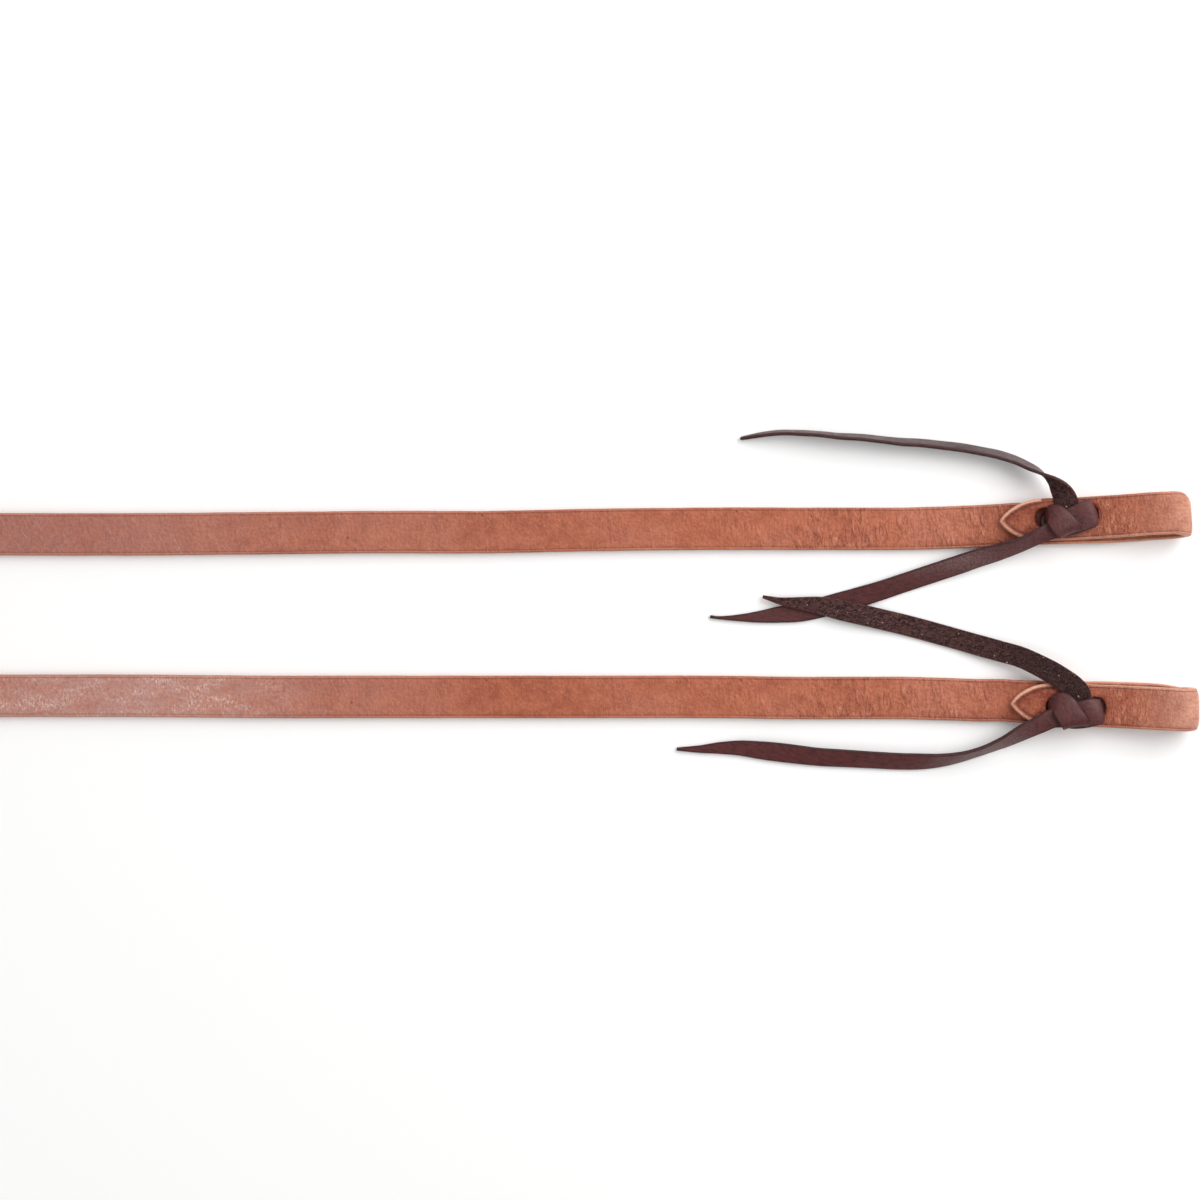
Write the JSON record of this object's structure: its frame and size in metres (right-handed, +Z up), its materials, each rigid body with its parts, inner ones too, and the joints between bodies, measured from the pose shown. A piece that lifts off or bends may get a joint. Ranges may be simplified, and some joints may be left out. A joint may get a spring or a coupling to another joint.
{
  "type": "leather reins",
  "caption": "Split leather reins with turned-back bit loops, each tied by a dark leather lace, and with the long ends wound together in one flat coil.",
  "frame": {"origin": "on the floor, at the middle of the box round the whole pair as it lies", "axes": "+X along the reins towards the bit loops, +Y from rein B to rein A, +Z up"},
  "size_m": [0.8366, 0.1622, 0.0192],
  "materials": {
    "harness_leather": "russet harness leather, waxed, with burnished edges",
    "lace_leather": "dark oiled lace leather, smooth on the grain side and fuzzy on the flesh side"
  },
  "bodies": {
    "rein_a": {"rein_a_strap": "harness_leather", "rein_a_coil": "harness_leather", "rein_a_bit_loop": "harness_leather", "tie_a_knot": "lace_leather", "tie_a_upper_tail": "lace_leather", "tie_a_lower_tail": "lace_leather"},
    "rein_b": {"rein_b_strap": "harness_leather", "rein_b_coil": "harness_leather", "rein_b_bit_loop": "harness_leather", "tie_b_knot": "lace_leather", "tie_b_upper_tail": "lace_leather", "tie_b_lower_tail": "lace_leather"}
  },
  "joints": [
    {"name": "rein_b_lift", "type": "slide", "parent": "rein_a", "child": "rein_b", "axis": [0, 0, 1], "range_m": [0, 0.1]}
  ]
}
